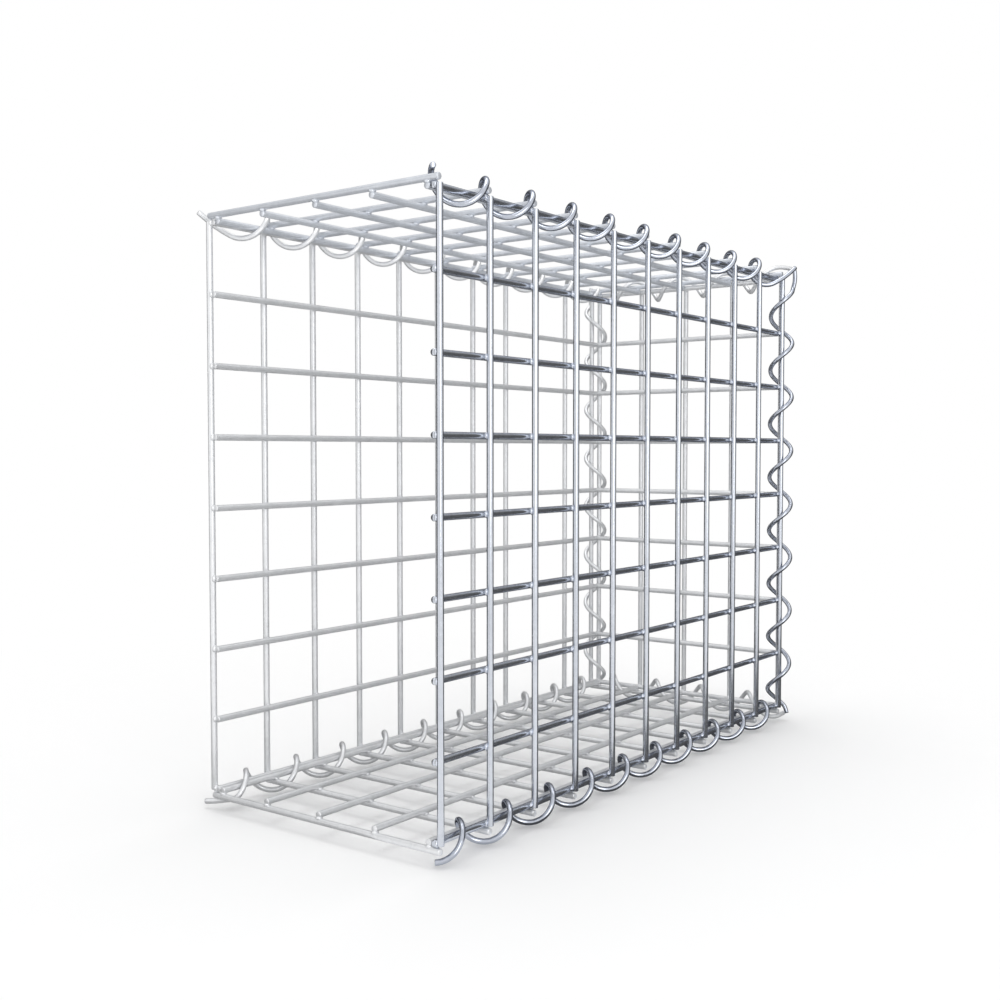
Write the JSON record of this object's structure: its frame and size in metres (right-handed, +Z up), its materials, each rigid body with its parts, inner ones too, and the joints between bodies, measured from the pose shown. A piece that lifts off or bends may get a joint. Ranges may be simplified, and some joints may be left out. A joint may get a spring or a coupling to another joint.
{
  "type": "gabion basket",
  "caption": "Empty welded wire mesh basket with lid, laced along its edges with spiral wires and left open at an end, to be filled with stone as a bay of a gabion wall.",
  "frame": {"origin": "middle of the underside of the basket's bounding box, on the floor it stands on", "axes": "+X along the basket towards its closed end, +Y from the front panel to the back panel, +Z up"},
  "size_m": [0.5224, 0.2392, 0.4311],
  "materials": {
    "mesh_wire": "bright galvanised, welded mesh",
    "spiral_wire": "bright galvanised, wound wire"
  },
  "bodies": {
    "root": {"front_panel": "mesh_wire", "back_panel": "mesh_wire", "end_panel": "mesh_wire", "lid_panel": "mesh_wire", "bottom_panel": "mesh_wire", "spiral_front_top": "spiral_wire", "spiral_front_bottom": "spiral_wire", "spiral_back_top": "spiral_wire", "spiral_back_bottom": "spiral_wire", "spiral_end_front": "spiral_wire", "spiral_end_back": "spiral_wire", "spiral_end_top": "spiral_wire", "spiral_end_bottom": "spiral_wire"}
  },
  "joints": []
}
